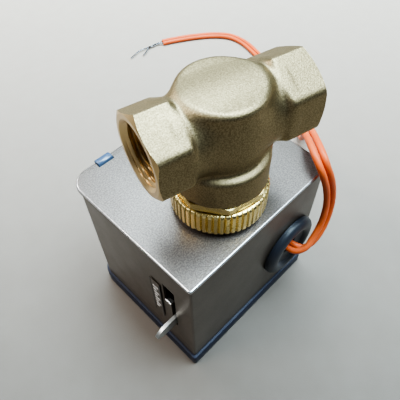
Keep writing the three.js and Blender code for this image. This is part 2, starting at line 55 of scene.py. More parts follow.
# ---- dimensions shared with the CAD model ----
RUN_TURN = math.radians(-13.64)
RUN_Z = 111.3
FACES = {-1: 28.0, 1: 29.2}
HEX_R = 14.9
HOUSING = (-34.2, 42.5, -20.0, 47.2)
TOP = 73.1
LEAD_R = 1.4
LEAD_SPACING = 3.15
BUSHING_AT = (24.6, 0, 34.6)
HOOK_XS = (-17.75, 22)
VALVE_FACE_R = 12.7  # the machined land of a port's end face
VALVE_CHAMFER = (2.6, 5.3)  # how far back and how far out the land's chamfer runs
PORT_PITCH = 1.814
BONNET_PITCH = 1.5

# ---- camera ----
camera_data = bpy.data.cameras.new("camera")
camera_data.sensor_width = 36
camera_data.lens = 39.27
camera = bpy.data.objects.new("camera", camera_data)
bpy.context.scene.collection.objects.link(camera)
bpy.context.scene.camera = camera
CAMERA_AT = Vector((-0.07297, -0.06554, 0.20072))
LOOK_AZIMUTH = math.radians(45.913)
LOOK_DOWN = math.radians(52.737)
ROLL = math.radians(-1.351)


def aim(obj, location, azimuth, down, roll):
    ahead = Vector((
        math.cos(azimuth) * math.cos(down), math.sin(azimuth) * math.cos(down), -math.sin(down)))
    right = ahead.cross(Vector((0, 0, 1))).normalized()
    up = right.cross(ahead)
    turn = Matrix((right, up, -ahead)).transposed()
    obj.matrix_world = Matrix.Translation(location) @ (turn @ Matrix.Rotation(roll, 3, "Z")).to_4x4()


aim(camera, CAMERA_AT, LOOK_AZIMUTH, LOOK_DOWN, ROLL)


# ---- mesh helpers ----
def mesh_object(name, verts, faces, smooth_angle=None):
    mesh = bpy.data.meshes.new(name)
    mesh.from_pydata((np.asarray(verts, float) * MM).tolist(), [], [tuple(map(int, f)) for f in faces])
    mesh.validate()
    obj = bpy.data.objects.new(name, mesh)
    bpy.context.scene.collection.objects.link(obj)
    if smooth_angle is not None:
        shade(obj, smooth_angle)
    return obj


def shade(obj, angle=30):
    """Smooth faces, with edges sharper than angle kept sharp."""
    bm = bmesh.new()
    bm.from_mesh(obj.data)
    bmesh.ops.recalc_face_normals(bm, faces=bm.faces)
    limit = math.radians(angle)
    for face in bm.faces:
        face.smooth = True
    for edge in bm.edges:
        edge.smooth = len(edge.link_faces) == 2 and edge.calc_face_angle(0) < limit
    bm.to_mesh(obj.data)
    bm.free()


def apply_modifiers(obj):
    depsgraph = bpy.context.evaluated_depsgraph_get()
    mesh = bpy.data.meshes.new_from_object(obj.evaluated_get(depsgraph))
    obj.modifiers.clear()
    old = obj.data
    obj.data = mesh
    bpy.data.meshes.remove(old)


def boolean(obj, tools, operation="DIFFERENCE"):
    for tool in tools:
        modifier = obj.modifiers.new("cut", "BOOLEAN")
        modifier.operation = operation
        modifier.solver = "MANIFOLD"
        modifier.object = tool
    apply_modifiers(obj)
    for tool in tools:
        bpy.data.objects.remove(tool)


def bevel(obj, width, segments=3, angle=30):
    modifier = obj.modifiers.new("edges", "BEVEL")
    modifier.width = width * MM
    modifier.segments = segments
    modifier.limit_method = "ANGLE"
    modifier.angle_limit = math.radians(angle)
    modifier.harden_normals = True
    apply_modifiers(obj)


def loft(name, rings, closed=False, smooth_angle=None, cap=True):
    """Joins rings of equal point counts into a skin; caps the ends, or closes last to first."""
    rings = [np.asarray(r, float) for r in rings]
    count = len(rings[0])
    verts = np.concatenate(rings)
    faces = []
    steps = len(rings) if closed else len(rings) - 1
    for i in range(steps):
        a = i * count
        b = ((i + 1) % len(rings)) * count
        for j in range(count):
            k = (j + 1) % count
            faces.append((a + j, a + k, b + k, b + j))
    if not closed and cap:
        faces.append(tuple(reversed(range(count))))
        faces.append(tuple(range(len(verts) - count, len(verts))))
    return mesh_object(name, verts, faces, smooth_angle)


def turned(name, profile, axis="Z", at=(0, 0, 0), sides=96, smooth_angle=30, radius=None):
    """A closed profile of (radius, height) turned about an axis.
    radius, if given, varies it with the angle and height."""
    angles = np.linspace(0, 2 * math.pi, sides, endpoint=False)
    rings = []
    for angle in angles:
        ring = []
        for r, h in profile:
            rr = radius(r, h, angle) if radius else r
            c, s = rr * math.cos(angle), rr * math.sin(angle)
            if axis == "Z":
                p = (c, s, h)
            elif axis == "Y":
                p = (c, h, s)
            else:
                p = (h, c, s)
            ring.append((p[0] + at[0], p[1] + at[1], p[2] + at[2]))
        rings.append(ring)
    return loft(name, rings, closed=True, smooth_angle=smooth_angle)


def plug(name, rows, sides, at_x, smooth_angle=30):
    """A solid turned about X: rows are (x, function of angle giving the radius)."""
    angles = np.linspace(0, 2 * math.pi, sides, endpoint=False)
    rings = []
    for x, radius in rows:
        r = radius(angles)
        rings.append(np.stack([np.full(sides, x + at_x), r * np.cos(angles), RUN_Z + r * np.sin(angles)], 1))
    return loft(name, rings, smooth_angle=smooth_angle)


def arc(cx, cy, r, a0, a1, n):
    return [(cx + r * math.cos(math.radians(a0 + (a1 - a0) * i / n)),
             cy + r * math.sin(math.radians(a0 + (a1 - a0) * i / n))) for i in range(n + 1)]


def housing_outline(inset, segments=10):
    x0, x1, y0, y1 = HOUSING
    x0, x1, y0, y1 = x0 + inset, x1 - inset, y0 + inset, y1 - inset
    rf, rr, rb, rl = [max(r - inset, 0.9) for r in (1.2, 2.5, 8, 8)]
    return (arc(x0 + rf, y0 + rf, rf, 180, 270, segments) + arc(x1 - rr, y0 + rr, rr, 270, 360, segments)
            + arc(x1 - rb, y1 - rb, rb, 0, 90, segments) + arc(x0 + rl, y1 - rl, rl, 90, 180, segments))


def stacked(name, levels, smooth_angle=30):
    """A solid through (outline, height) levels, bottom to top."""
    return loft(name, [[(x, y, z) for x, y in outline] for outline, z in levels], smooth_angle=smooth_angle)


def brick(name, x0, x1, y0, y1, z0, z1):
    return stacked(name, [([(x0, y0), (x1, y0), (x1, y1), (x0, y1)], z) for z in (z0, z1)], None)


def refined(node, width=0.15, segments=2, angle=30):
    """A copy of a CAD node's own shape with its edges broken."""
    source = frame["nodes"][node]
    obj = bpy.data.objects.new(node + "_look", source.data.copy())
    bpy.context.scene.collection.objects.link(obj)
    bm = bmesh.new()
    bm.from_mesh(obj.data)
    bmesh.ops.remove_doubles(bm, verts=bm.verts, dist=2e-6)
    bmesh.ops.dissolve_limit(bm, angle_limit=math.radians(0.6), verts=bm.verts, edges=bm.edges)
    bm.to_mesh(obj.data)
    bm.free()
    shade(obj, 30)
    if width:
        bevel(obj, width, segments, angle)
    return obj


def smooth_path(points, count):
    """Points along the smooth curve through points, count per span."""
    out = []
    for i in range(len(points) - 1):
        p0, p1, p2 = points[max(i - 1, 0)], points[i], points[i + 1]
        p3 = points[min(i + 2, len(points) - 1)]
        t1, t2 = (p2 - p0) / 2, (p3 - p1) / 2
        for j in range(count):
            t = j / count
            out.append(p1 * (2 * t ** 3 - 3 * t ** 2 + 1) + t1 * (t ** 3 - 2 * t ** 2 + t)
                       + p2 * (-2 * t ** 3 + 3 * t ** 2) + t2 * (t ** 3 - t ** 2))
    out.append(points[-1])
    return out


def tube(path, radius, sides, start=0.0, orbit=0.0, twist=0.0):
    """Rings of a tube along path; orbit and twist wind it round the path."""
    rings = []
    up = Vector((0, 0, 1))
    travelled = 0.0
    for i, p in enumerate(path):
        tangent = (path[min(i + 1, len(path) - 1)] - path[max(i - 1, 0)]).normalized()
        if i:
            travelled += (p - path[i - 1]).length
        a = tangent.cross(up).normalized()
        b = a.cross(tangent)
        turn = start + twist * travelled
        centre = p + (a * math.cos(turn) + b * math.sin(turn)) * orbit
        rings.append([centre + (a * math.cos(t) + b * math.sin(t)) * radius
                      for t in np.linspace(0, 2 * math.pi, sides, endpoint=False)])
    return rings


def place(obj, body, slot_name, material, *nodes):
    """Puts a finished piece on its body and hides the CAD nodes it stands for; slot_name is not used.
    A material of None leaves the piece with its own."""
    if material is not None:
        obj.data.materials.clear()
        obj.data.materials.append(material)
    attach(obj, body)
    if nodes:
        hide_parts(*nodes)
    return obj


# ---- materials ----
def material(name, color, metallic, roughness, grain=(), tint=None, coat=0.0, fleck=0, specular=0.5, rim=1.0):
    """color is the base and tint its darker patches; fleck is the scale of fine specks of the tint.
    grain lists (noise scale per metre, detail, bump distance in mm); rim below 1 dims and warms the
    reflection at a low angle."""
    mat = bpy.data.materials.new(name)
    mat.use_nodes = True
    nodes, links = mat.node_tree.nodes, mat.node_tree.links
    shader = nodes["Principled BSDF"]
    shader.inputs["Metallic"].default_value = metallic
    shader.inputs["Coat Weight"].default_value = coat
    shader.inputs["Specular IOR Level"].default_value = specular
    rim_color = (rim, rim * 0.94, rim * 0.82, 1) if rim < 1 else (1, 1, 1, 1)
    shader.inputs["Specular Tint"].default_value = rim_color
    shader.inputs["Coat Roughness"].default_value = 0.12
    coord = nodes.new("ShaderNodeTexCoord").outputs["Object"]
    mix = nodes.new("ShaderNodeMix")
    mix.data_type = "RGBA"
    mix.inputs["A"].default_value = (*color, 1)
    mix.inputs["B"].default_value = (*(tint or [c * 0.78 for c in color]), 1)
    broad = nodes.new("ShaderNodeTexNoise")
    broad.inputs["Scale"].default_value = 90
    broad.inputs["Detail"].default_value = 6
    links.new(coord, broad.inputs["Vector"])
    factor = broad.outputs["Fac"]
    if fleck:
        fine = nodes.new("ShaderNodeTexNoise")
        fine.inputs["Scale"].default_value = fleck
        fine.inputs["Detail"].default_value = 1
        links.new(coord, fine.inputs["Vector"])
        sharper = nodes.new("ShaderNodeMapRange")
        sharper.inputs["From Min"].default_value = 0.36
        sharper.inputs["From Max"].default_value = 0.64
        links.new(fine.outputs["Fac"], sharper.inputs["Value"])
        factor = sharper.outputs["Result"]
    links.new(factor, mix.inputs["Factor"])
    links.new(mix.outputs["Result"], shader.inputs["Base Color"])
    rough = nodes.new("ShaderNodeMapRange")
    rough.inputs["To Min"].default_value = max(roughness - 0.07, 0.03)
    rough.inputs["To Max"].default_value = roughness + 0.09
    links.new(broad.outputs["Fac"], rough.inputs["Value"])
    links.new(rough.outputs["Result"], shader.inputs["Roughness"])
    normal = None
    for scale, detail, distance in grain:
        noise = nodes.new("ShaderNodeTexNoise")
        noise.inputs["Scale"].default_value = scale
        noise.inputs["Detail"].default_value = detail
        links.new(coord, noise.inputs["Vector"])
        bump = nodes.new("ShaderNodeBump")
        bump.inputs["Distance"].default_value = distance * MM
        bump.inputs["Strength"].default_value = 1
        links.new(noise.outputs["Fac"], bump.inputs["Height"])
        if normal is not None:
            links.new(normal, bump.inputs["Normal"])
        normal = bump.outputs["Normal"]
    if normal is not None:
        links.new(normal, shader.inputs["Normal"])
    return mat


def turning_marks(mat, axis, at, pitch=0.35, depth=0.012):
    """Fine lathe rings round an axis through at, added in front of the material's bump."""
    nodes, links = mat.node_tree.nodes, mat.node_tree.links
    shader = nodes["Principled BSDF"]
    coord = nodes.new("ShaderNodeTexCoord").outputs["Object"]
    shift = nodes.new("ShaderNodeVectorMath")
    shift.operation = "SUBTRACT"
    shift.inputs[1].default_value = [c * MM for c in at]
    links.new(coord, shift.inputs[0])
    wave = nodes.new("ShaderNodeTexWave")
    wave.wave_type = "RINGS"
    wave.rings_direction = axis
    wave.inputs["Scale"].default_value = math.pi / (20 * pitch * MM)
    wave.inputs["Distortion"].default_value = 0.4
    links.new(shift.outputs["Vector"], wave.inputs["Vector"])
    bump = nodes.new("ShaderNodeBump")
    bump.inputs["Distance"].default_value = depth * MM
    links.new(wave.outputs["Fac"], bump.inputs["Height"])
    earlier = shader.inputs["Normal"].links
    if earlier:
        links.new(earlier[0].from_socket, bump.inputs["Normal"])
    links.new(bump.outputs["Normal"], shader.inputs["Normal"])
    return mat


CAST = material("cast_brass", (0.285, 0.223, 0.126), 1.0, 0.45, [(2000, 1, 0.06), (330, 2, 0.03)],
                tint=(0.175, 0.133, 0.072), fleck=2400, rim=0.9)
MACHINED = material("machined_brass", (0.68, 0.50, 0.26), 1.0, 0.34, [(1500, 2, 0.008)],
                    tint=(0.45, 0.32, 0.16))
TURNED = turning_marks(
    material("turned_brass", (0.92, 0.75, 0.35), 1.0, 0.25, [(1800, 2, 0.006)], tint=(0.78, 0.60, 0.24)),
    "Z", (0, 0, 0))
PLATE = material("plate_steel", (0.165, 0.140, 0.126), 0.8, 0.38, [(1700, 2, 0.06)],
                 tint=(0.098, 0.081, 0.072), fleck=1900, rim=0.6)
# The rolled edge is the plate's own steel, made far brighter than the top as a painted highlight along the
# edge.
PLATE_EDGE = material("plate_edge", (0.72, 0.72, 0.73), 1.0, 0.28, [(1800, 2, 0.02)],
                      tint=(0.52, 0.52, 0.53), fleck=1500)
SLEEVE = material("sleeve_paint", (0.10, 0.078, 0.060), 0.55, 0.36, [(1500, 3, 0.012)],
                  tint=(0.078, 0.060, 0.047), fleck=2400)
# The base cap and its snap hooks are one blue plastic, given as a shaded and a lit copy: the cap's dark navy
# is painted shade, the hooks' brighter blue painted light.
BASE = material("base_plastic", (0.015, 0.018, 0.034), 0.0, 0.50, [(900, 3, 0.01)],
                tint=(0.021, 0.025, 0.046), specular=0.18)
HOOK_PAINTED_LIGHT = material("hook_plastic_painted_light", (0.05, 0.085, 0.15), 0.0, 0.25, [(900, 3, 0.01)],
                tint=(0.04, 0.068, 0.12), coat=0.3)
STEEL = material("bright_steel", (0.50, 0.51, 0.50), 1.0, 0.36, [(1400, 3, 0.008)], tint=(0.38, 0.39, 0.38))
DULL_STEEL = material("frame_steel", (0.4, 0.41, 0.42), 1.0, 0.42, [(1200, 3, 0.01)])
BUSHING = material("black_bushing", (0.011, 0.013, 0.019), 0.0, 0.42, [(1800, 3, 0.01)],
                   tint=(0.020, 0.022, 0.030), specular=0.35)
RUBBER = material("black_rubber", (0.018, 0.018, 0.018), 0.0, 0.6, [(1500, 3, 0.01)])
NYLON = material("white_nylon", (0.78, 0.75, 0.66), 0.0, 0.42, [(900, 3, 0.006)])
INSULATION = material("lead_insulation", (0.66, 0.125, 0.030), 0.0, 0.45, [(900, 3, 0.02)],
                      tint=(0.52, 0.075, 0.016), specular=0.3)
CONDUCTOR = material("lead_conductor", (0.42, 0.42, 0.43), 1.0, 0.22, [(2000, 3, 0.008)],
                     tint=(0.16, 0.17, 0.19))
WINDING = material("coil_winding", (0.45, 0.14, 0.05), 0.6, 0.4, [(2500, 3, 0.02)])
MAGNET = material("rotor_magnet", (0.05, 0.05, 0.055), 0.1, 0.5, [(2000, 3, 0.01)])
FILM = material("label_film", (0.085, 0.066, 0.051), 0.5, 0.36, [(1500, 2, 0.004)])
FILM_MARK = material("label_mark", (0.95, 0.93, 0.93), 0.9, 0.3, [(1500, 2, 0.004)], tint=(0.85, 0.83, 0.83))
FILM_LINE = material("label_line", (0.02, 0.02, 0.02), 0.0, 0.4, [(1500, 2, 0.004)])


# ---- valve body: a smooth cast skin, then the machined cuts ----
def blend_min(a, b, k):
    h = np.clip(0.5 + 0.5 * (b - a) / k, 0, 1)
    return b + (a - b) * h - k * h * (1 - h)


def blend_max(a, b, k):
    return -blend_min(-a, -b, k)


def surface_nets(field, low, high, step):
    """Meshes the zero level of field: a vertex in each mixed cell, a quad across each crossed edge."""
    axes = [np.arange(a, b + step, step) for a, b in zip(low, high)]
    value = field(*np.meshgrid(*axes, indexing="ij"))
    n = np.array(value.shape) - 1
    total = np.zeros((*n, 3))
    count = np.zeros(tuple(n))
    crossings = []
    for axis in range(3):
        first, second = [slice(None)] * 3, [slice(None)] * 3
        first[axis], second[axis] = slice(0, -1), slice(1, None)
        a, b = value[tuple(first)], value[tuple(second)]
        cross = (a < 0) != (b < 0)
        t = np.zeros(a.shape)
        t[cross] = a[cross] / (a[cross] - b[cross])
        grid_at = np.stack(np.indices(a.shape), -1).astype(float)
        grid_at[..., axis] += t
        others = [k for k in range(3) if k != axis]
        for du in (0, 1):
            for dv in (0, 1):
                take = [slice(None)] * 3
                take[others[0]] = slice(du, du + n[others[0]])
                take[others[1]] = slice(dv, dv + n[others[1]])
                hit = cross[tuple(take)]
                total += grid_at[tuple(take)] * hit[..., None]
                count += hit
        crossings.append((cross, a < 0, others))
    filled = count > 0
    index = -np.ones(tuple(n), int)
    index[filled] = np.arange(filled.sum())
    verts = total[filled] / count[filled][:, None] * step + np.array([a[0] for a in axes])
    quads = []
    for axis, (cross, inside, others) in enumerate(crossings):
        at = np.argwhere(cross)
        keep = np.all([(at[:, k] > 0) & (at[:, k] < n[k]) for k in others], axis=0)
        at = at[keep]
        flip = inside[tuple(at.T)]
        corner = []
        for du, dv in ((1, 1), (0, 1), (0, 0), (1, 0)):
            c = at.copy()
            c[:, others[0]] -= du
            c[:, others[1]] -= dv
            corner.append(index[tuple(c.T)])
        quad = np.stack(corner, 1)
        if axis == 1:
            flip = ~flip
        quad[~flip] = quad[~flip][:, ::-1]
        quads.append(quad)
    return verts, np.concatenate(quads)


def valve_field(x, y, z):
    """Distance-like field of the valve body in its own frame, pipe run along X; negative inside."""
    r = np.hypot(x, y)
    run = np.hypot(y, z - RUN_Z)

    def drum(radius, z0, z1, rounding):
        side = r - (radius - rounding)
        ends = np.maximum(z0 + rounding - z, z - (z1 - rounding))
        outside = np.hypot(np.maximum(side, 0), np.maximum(ends, 0))
        return outside + np.minimum(np.maximum(side, ends), 0) - rounding

    neck = drum(16.7, 86, 100.6, 1.8)
    centre = drum(13.9, 92, 124.75, 1.9)
    throat = blend_max(run - 12.5, np.abs(x) - 19, 1)
    body = blend_min(neck, centre, 2.2)
    body = blend_min(body, throat, 4.0)
    apothem = HEX_R * math.cos(math.pi / 6)
    flat_y = np.abs(y)
    flat_z = np.abs(z - RUN_Z)
    hexagon = blend_max(flat_y, 0.5 * flat_y + math.sin(math.pi / 3) * flat_z, 1.6) - apothem
    for side in (-1, 1):
        along = x * side
        shank = blend_max(hexagon, 16.2 - along - 0.25 * (15 - run), 1.6)
        shank = np.maximum(shank, along - (FACES[side] + 1.5))
        body = blend_min(body, shank, 1.5)
    body = np.maximum(body, 88.9 - z)
    chamber = np.maximum(r - 10.8, np.maximum(94 - z, z - 121.8))
    inner = np.minimum(chamber, np.maximum(run - 8.8, np.abs(x) - 15))
    seat = np.maximum(np.abs(z - 107.3) - 1, 6.2 - r)
    left_web = np.maximum(np.maximum(x + 9.6, -x - 12.6), z - 107.5)
    right_web = np.maximum(np.maximum(9.6 - x, x - 12.6), 107 - z)
    inner = np.maximum(inner, -np.minimum(seat, np.minimum(left_web, right_web)))
    body = np.maximum(body, -inner)
    return np.maximum(body, -np.maximum(r - 13.8, z - 95.2))


def thread_wave(phase):
    """0 at the root and 1 at the crest of a flattened V thread."""
    p = np.abs((phase % 1) * 2 - 1)
    return np.clip((p - 0.12) / 0.76, 0, 1)


def port_cutter(side):
    """Cuts a port's threaded bore and its mouth's chamfer."""
    face = FACES[side]
    rows = []
    steps = np.arange(13.2, face + 2.01, 0.13)
    for along in steps:
        mouth = 11.2 - max(face - along, -0.5) * 1.0

        def radius(angle, along=along, mouth=mouth):
            thread = 9.25 + 1.1 * thread_wave(along / PORT_PITCH + side * angle / (2 * math.pi))
            return np.maximum(thread, mouth)

        rows.append((side * along, radius))
    return plug("port_cutter", rows, 96, 0, None)


def face_cutter(side):
    """Cuts a port's end flat inside the land and chamfers the hexagon outside it."""
    face = FACES[side]
    outline = [(face, 0.001), (face, VALVE_FACE_R), (face - VALVE_CHAMFER[0], 18.0), (face + 4, 18.0)]
    rows = [(side * along, lambda angle, radius=radius: np.full_like(angle, radius))
            for along, radius in outline]
    return plug("face_cutter", rows, 96, 0, None)


STEP = 0.42
verts, quads = surface_nets(valve_field, (-32, -18, 86), (32, 18, 127), STEP)
valve = mesh_object("valve_body_look", verts, quads)
shade(valve, 180)
cutters = [cutter(side) for side in (-1, 1) for cutter in (face_cutter, port_cutter)]
for tool in cutters:
    shade(tool, 180)
boolean(valve, cutters)
shade(valve, 24)
valve.data.materials.clear()
valve.data.materials.append(CAST)
valve.data.materials.append(MACHINED)
for polygon in valve.data.polygons:
    x, y, z = polygon.center / MM
    side = 1 if x > 0 else -1
    reach = abs(x) - FACES[side]
    radius = math.hypot(y, z - RUN_Z)
    off_chamfer = abs(radius - VALVE_FACE_R + reach * VALVE_CHAMFER[1] / VALVE_CHAMFER[0])
    on_end = reach > -0.02 or (reach > -2.7 and off_chamfer < 0.12)
    if on_end or (abs(x) > 13.1 and radius < 11.4) or z < 89.2:
        polygon.material_index = 1
valve.data.transform(Matrix.Rotation(RUN_TURN, 4, "Z"))
place(valve, "case_and_valve", "cast_brass", None, "valve_body")

# ---- bonnet insert: octagonal collar between two threads ----
OCTAGON_TURN = 10.0
OCTAGON_R = 17.3
octagon_angles = [math.radians(OCTAGON_TURN + 45 * k) for k in range(8)]
octagon_points = [(OCTAGON_R * math.cos(a), OCTAGON_R * math.sin(a)) for a in octagon_angles]
collar = stacked("bonnet_insert_look", [(octagon_points, 85.62), (octagon_points, 88.6)], None)
chamfer = turned("chamfer", [
    (0.01, 84), (16.2, 84), (16.2, 85.4), (17.6, 86.2), (17.6, 88.1), (16.4, 88.75), (0.01, 88.75)], sides=96)
boolean(collar, [chamfer], "INTERSECT")
shade(collar, 20)
bevel(collar, 0.12, 2, 20)
male_rows = [(2.45, 78.3), (13.0, 78.3)]
male_rows += [(14.0, z) for z in np.arange(78.9, 85.7, 0.11)] + [(12.9, 85.75), (2.45, 85.75)]


def male_thread(r, z, angle):
    """Thread on the wall of the insert and nowhere else."""
    if r < 13.9:
        return r
    return 13.0 + 0.88 * float(thread_wave(np.array(z / BONNET_PITCH - angle / (2 * math.pi))))


threaded = turned("bonnet_thread_look", male_rows, sides=96, smooth_angle=40, radius=male_thread)
place(collar, "case_and_valve", "turned_brass", TURNED, "bonnet_insert")
place(threaded, "case_and_valve", "turned_brass", TURNED)

# ---- ring nut: straight knurl with turned rims ----
KNURL = 54


def knurled(r, z, angle):
    """Straight grooves in the nut's rim and nowhere else."""
    if r < 16.8:
        return r
    wave = abs(((angle * KNURL / (2 * math.pi)) % 1) * 2 - 1)
    depth = 0.75 * (1 - min(1.0, wave / 0.42) ** 1.5)
    return min(r, 17.7 - depth)


nut_profile = [(10.3, 75.0), (16.85, 75.0), (17.35, 75.35), (17.75, 75.8), (17.8, 76.2), (17.8, 83.6),
               (17.75, 84.1), (17.3, 84.6), (16.8, 84.95), (16.5, 85.0), (14.7, 85.0), (14.25, 84.6),
               (14.25, 76.4), (10.3, 76.4)]
nut = turned("ring_nut_look", nut_profile, sides=KNURL * 12, smooth_angle=32, radius=knurled)
place(nut, "ring_nut", "turned_brass", TURNED, "ring_nut")

# ---- mounting plate with a rolled top edge and the notches for the snap hooks ----
edge = [(0.25, TOP - 1.6), (0.0, TOP - 1.4), (0.0, TOP - 0.75), (0.05, TOP - 0.5), (0.17, TOP - 0.28),
        (0.35, TOP - 0.12), (0.6, TOP - 0.02), (0.9, TOP)]
plate = stacked("mounting_plate_look", [(housing_outline(inset), z) for inset, z in edge], 40)
cutters = [turned("hole", [(0.01, 70), (10.2, 70), (10.2, 76), (0.01, 76)], smooth_angle=None)]
for x in HOOK_XS:
    cutters.append(brick("notch", x - 3.75, x + 3.75, 43.6, 50, 70, 76))
boolean(plate, cutters)
shade(plate, 40)
plate.data.materials.clear()
plate.data.materials.append(PLATE)
plate.data.materials.append(PLATE_EDGE)
# Faces sloped round the rolled edge take the bright copy: a painted highlight.
for polygon in plate.data.polygons:
    polygon.material_index = 1 if 0.05 < polygon.normal.z < 0.97 else 0
place(plate, "case_and_valve", "plate_steel", None, "mounting_plate")

# ---- folded sleeve with the lever slot and the bushing hole ----
sleeve = stacked("sleeve_look", [(housing_outline(1.0), 8.3), (housing_outline(1.0), 71.1)], 40)
cutters = [
    stacked("hollow", [(housing_outline(2.2), 7), (housing_outline(2.2), 73)], None),
    brick("slot", -35.5, -30, -9.75, -7.25, 26.6, 46),
    brick("window", -35.5, -30, -9.75, -3.6, 43, 56),
    turned("bushing_hole", [(0.01, -21), (11.35, -21), (11.35, -14), (0.01, -14)], axis="Y", at=BUSHING_AT,
           smooth_angle=None),
]
boolean(sleeve, cutters)
bevel(sleeve, 0.22, 2, 50)
shelf = brick("shelf_look", -33.3, -31.0, -7.2, -3.5, 41.7, 43.1)
bevel(shelf, 0.45, 4, 50)
place(sleeve, "case_and_valve", "sleeve_paint", SLEEVE, "sleeve_cover")
place(shelf, "case_and_valve", "sleeve_paint", PLATE_EDGE)

# ---- base cap ----
cap_edge = [(1.6, 0.0), (0.8, 0.15), (0.3, 0.5), (0.0, 1.2), (0.0, 7.5), (0.12, 7.85), (0.5, 8.0)]
base = stacked("base_cap_look", [(housing_outline(inset), z) for inset, z in cap_edge], 40)
cutter = stacked("hollow", [(housing_outline(2.6), 2), (housing_outline(2.6), 9)], None)
boolean(base, [cutter])
shade(base, 40)
hooks = []
for x in HOOK_XS:
    rows = [(43.95, 8), (44.9, 8), (44.9, 71.5), (47.6, 71.9), (47.85, 72.6), (47.7, 73.6), (46.9, 74.15),
            (45.4, 74.3), (44.2, 73.9), (43.95, 73.2)]
    rings = [[(x + dx, y, z) for y, z in rows] for dx in (-3.45, 3.45)]
    hook = loft("snap_hook_look", rings, smooth_angle=None)
    bevel(hook, 0.35, 3, 25)
    shade(hook, 35)
    hooks.append(hook)
place(base, "case_and_valve", "base_plastic", BASE, "base_cap")
# Each hook takes the lit copy of the cap's plastic, as painted light.
for hook in hooks:
    place(hook, "case_and_valve", "base_plastic", HOOK_PAINTED_LIGHT)

# ---- manual lever and the pieces near it ----
place(refined("manual_lever", 0.35, 3, 40), "lever", "bright_steel", STEEL, "manual_lever")
place(refined("lift_sleeve", 0.15), "lever", "white_nylon", NYLON, "lift_sleeve")

# ---- cable bushing ----
bushing_profile = [
    (4.0, -17.9), (4.0, -19.6), (4.3, -20.4), (5.2, -20.7), (7.9, -20.8), (9.0, -21.2), (9.5, -22.0),
    (10.2, -22.75), (11.4, -22.95), (12.7, -22.8), (13.9, -22.3), (14.7, -21.5), (15.0, -20.6),
    (15.0, -19.35), (11.05, -19.3), (11.05, -14.6), (9.2, -14.6), (9.2, -17.9)]
bushing = turned("cable_bushing_look", bushing_profile, axis="Y", at=BUSHING_AT, sides=96, smooth_angle=38)
place(bushing, "case_and_valve", "black_bushing", BUSHING, "cable_bushing")

# ---- label strip with a border and a plain scale of ticks beside the lever's slot ----
label = brick("lever_label_look", -33.75, -33.5, -2.2, 3.4, 25, 53)
bevel(label, 0.05, 2, 50)
place(label, "case_and_valve", "label_film", FILM, "lever_label")
for y0, y1, z0, z1 in ((-2.2, -1.75, 25, 53), (2.95, 3.4, 25, 53)):
    place(brick("label_line", -33.82, -33.7, y0, y1, z0, z1), "case_and_valve", "label_film", FILM_LINE)
for i in range(8):
    low = 30.5 + 2.5 * i
    tick = brick("label_mark", -33.84, -33.7, -1.0 if i % 2 else 0.2, 1.9, low, low + 1.0)
    place(tick, "case_and_valve", "label_film", FILM_MARK)

# ---- closing spring, built at one length; in the valve it shortens towards its upper end as the stem lifts ----
SPRING_LOW, SPRING_HIGH, SPRING_R, SPRING_WIRE, SPRING_TURNS = 114.1, 121.2, 5.2, 0.45, 4
SPRING_STEPS = 40
spring_path = []
for i in range(SPRING_TURNS * SPRING_STEPS + 1):
    turn = RUN_TURN + 2 * math.pi * i / SPRING_STEPS
    height = SPRING_LOW + (SPRING_HIGH - SPRING_LOW) * i / (SPRING_TURNS * SPRING_STEPS)
    spring_path.append(Vector((SPRING_R * math.cos(turn), SPRING_R * math.sin(turn), height)))
spring = loft("closing_spring_look", tube(spring_path, SPRING_WIRE, 12), smooth_angle=40)
place(spring, "case_and_valve", "bright_steel", STEEL, "closing_spring")
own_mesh(spring)

# ---- supply leads: the middle of the pair and roughly the direction from one to the other ----
LEAD_ROUTE = [
    (24.6, -14.4, 34.6, 1, 0, 0), (24.6, -19, 34.6, 1, 0, 0), (25.2, -23.4, 34.7, 1, 0, 0),
    (28.2, -26.6, 35.4, 1, -0.1, -0.2), (33, -27.4, 39, 0.9, -0.2, -0.3), (37.8, -27, 46, 1, -0.2, -0.1),
    (39.8, -25.8, 55, 1, -0.2, 0), (39, -24.5, 63.5, 1, -0.2, 0), (36.9, -23.3, 71, 1, -0.2, 0),
    (35.3, -21.3, 76.8, 1, -0.2, 0), (36.2, -18, 79.8, 1, -0.5, 0), (39.2, -13.9, 80, 0.9, -0.6, 0),
    (43.6, -9.2, 78.4, 0.8, -0.6, 0), (50, -3.4, 74.4, 0.8, -0.6, 0), (60.5, 4, 65.4, 0.7, -0.7, 0),
    (72.5, 10.4, 52.8, 0.7, -0.7, 0), (84, 15.2, 38.6, 0.6, -0.8, 0), (94.5, 20, 24.4, 0.6, -0.8, 0),
    (104.5, 26, 11.8, 0.65, -0.76, 0), (115, 33.4, 3.8, 0.7, -0.7, 0), (126.5, 43.5, 1.72, 0.72, -0.69, 0),
    (138, 57, 1.72, 0.82, -0.57, 0), (148, 75, 1.72, 0.9, -0.43, 0), (156.5, 95, 1.72, 0.95, -0.3, 0),
    (163, 113, 1.72, 0.98, -0.15, 0), (167, 129, 1.72, 1, 0.1, 0), (165.6, 142.5, 1.72, 0.8, 0.6, 0),
    (157.2, 153.6, 1.72, 0.62, 0.78, 0), (145, 163, 1.72, 0.54, 0.84, 0), (132.5, 170.4, 1.72, 0.48, 0.87, 0),
    (123, 175, 1.72, 0.43, 0.9, 0),
]
CORES = (("lead_live", 1, [(103, 180.2), (92.5, 177.6)]),
         ("lead_neutral", -1, [(106, 175.4), (101.5, 173.6)]))
TWIST_FROM, TWIST_TO = Vector((119.5, 176.9, 1.35)), Vector((110, 178.2, 1.35))


def lead_points(side):
    middle = [Vector(row[:3]) for row in LEAD_ROUTE]
    points = []
    for i, row in enumerate(LEAD_ROUTE):
        tangent = (middle[min(i + 1, len(middle) - 1)] - middle[max(i - 1, 0)]).normalized()
        across = Vector(row[3:])
        across = (across - tangent * across.dot(tangent)).normalized()
        points.append(middle[i] + across * (side * LEAD_SPACING / 2))
    return points


STRANDS, STRAND_SIDES, STRAND_R, STRAND_ORBIT, STRAND_TWIST = 7, 6, 0.17, 0.31, 0.7


